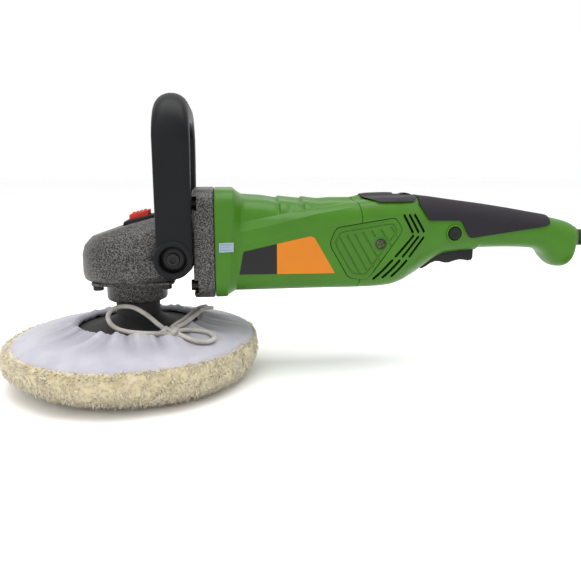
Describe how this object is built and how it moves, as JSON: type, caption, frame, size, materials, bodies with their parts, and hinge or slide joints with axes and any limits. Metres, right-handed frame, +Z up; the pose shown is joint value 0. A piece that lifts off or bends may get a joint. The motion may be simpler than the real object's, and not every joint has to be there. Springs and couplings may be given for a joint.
{
  "type": "rotary polisher",
  "caption": "Hand-held rotary polisher with a tilting D-shaped front handle, geared spindle, backing pad, drawstring wool bonnet, trigger rear handle and mains lead.",
  "frame": {"origin": "centre of the bonnet's working face, on the spindle axis", "axes": "+Z up along the spindle axis out of the working face, +X from the spindle towards the rear handle, +Y to the machine's right-hand side away from the lock-on button"},
  "size_m": [0.635, 0.208, 0.224],
  "materials": {
    "black_plastic": "moulded plastic",
    "black_rubber": "moulded rubber",
    "brass": "machined",
    "bright_steel": "zinc plated",
    "carbon": "pressed carbon",
    "cloth": "woven cotton",
    "copper_wire": "enamelled copper wire",
    "green_plastic": "moulded plastic",
    "hammertone_paint": "hammered texture paint",
    "label": "printed film",
    "lamination": "stacked steel sheets",
    "pad_foam": "moulded rubber",
    "silver_label": "silver film",
    "soft_rubber": "soft grip rubber",
    "steel": "machined",
    "string": "braided cotton",
    "wool": "long wool pile"
  },
  "bodies": {
    "machine": {"gear_housing": "hammertone_paint", "bearing_collar": "hammertone_paint", "collar_screws": "bright_steel", "gearbox_plate": "hammertone_paint", "gearbox_screws": "bright_steel", "ball_bearings": "steel", "shaft_bushes": "brass", "motor_housing": "green_plastic", "rear_housing_left": "green_plastic", "rear_housing_right": "green_plastic", "housing_screws": "steel", "top_panel": "black_plastic", "rubber_grip": "soft_rubber", "brush_covers": "green_plastic", "brush_cover_screws": "steel", "side_labels": "label", "info_sticker": "silver_label", "stator_core": "lamination", "field_windings": "copper_wire", "fan_baffle": "black_plastic", "brush_frame": "black_plastic", "brush_holders": "brass", "carbon_brushes": "carbon", "brush_springs": "steel", "switch_body": "black_plastic", "speed_controller": "black_plastic", "trigger_pin": "steel", "trigger_spring": "steel", "cord_clamp": "black_plastic", "lock_button_seat": "black_plastic", "lock_spring": "steel", "handle_bolts": "steel", "handle_washers": "steel", "strain_relief": "black_rubber", "cord_tube": "black_rubber", "cord_coil": "black_rubber", "cord_tie": "black_rubber", "plug_body": "black_rubber", "plug_pins": "brass"},
    "spindle": {"spindle": "steel", "bevel_gear": "steel", "pad_hub": "bright_steel", "backing_pad": "pad_foam", "bonnet_wool": "wool", "bonnet_cover": "cloth", "drawstring": "string"},
    "intermediate": {"intermediate_shaft": "steel", "bevel_pinion": "steel", "intermediate_gear": "steel"},
    "armature": {"armature_shaft": "steel", "armature_core": "lamination", "armature_windings": "copper_wire", "commutator": "copper_wire", "cooling_fan": "black_plastic"},
    "front_handle": {"d_handle": "black_plastic"},
    "lock_button": {"lock_button": "black_plastic"},
    "trigger": {"trigger": "black_plastic"},
    "lock_on": {"lock_on_button": "black_plastic"},
    "dial": {"speed_dial": "black_plastic"}
  },
  "joints": [
    {"name": "spindle_spin", "type": "hinge", "parent": "machine", "child": "spindle", "pos_m": [0, 0, 0], "axis": [0, 0, 1], "continuous": true},
    {"name": "intermediate_spin", "type": "hinge", "parent": "machine", "child": "intermediate", "pos_m": [0.045, 0, 0.096], "axis": [1, 0, 0], "continuous": true},
    {"name": "armature_spin", "type": "hinge", "parent": "machine", "child": "armature", "pos_m": [0.12, 0, 0.11325], "axis": [1, 0, 0], "continuous": true},
    {"name": "handle_tilt", "type": "hinge", "parent": "machine", "child": "front_handle", "pos_m": [0.0338, 0, 0.1038], "axis": [0, 1, 0], "range_deg": [-60, 45]},
    {"name": "lock_press", "type": "slide", "parent": "machine", "child": "lock_button", "axis": [0, 0, -1], "range_m": [0, 0.0045], "stiffness_N_per_m": 500, "springref_m": -0.001, "deforming": ["lock_spring"]},
    {"name": "trigger_pull", "type": "hinge", "parent": "machine", "child": "trigger", "pos_m": [0.2435, 0, 0.0978], "axis": [0, 1, 0], "range_deg": [-6, 0], "stiffness_Nm_per_rad": 1.2, "springref_deg": 5.73, "deforming": ["trigger_spring"]},
    {"name": "lock_on_press", "type": "slide", "parent": "machine", "child": "lock_on", "axis": [0, 1, 0], "range_m": [0, 0.003], "stiffness_N_per_m": 300, "springref_m": -0.001},
    {"name": "dial_turn", "type": "hinge", "parent": "machine", "child": "dial", "pos_m": [0.222, 0, 0.1376], "axis": [0, 1, 0], "range_deg": [0, 270]}
  ],
  "couplings": [
    {"joint": "intermediate_spin", "follows": "spindle_spin", "ratio": -2.9231},
    {"joint": "armature_spin", "follows": "spindle_spin", "ratio": 10.523}
  ]
}
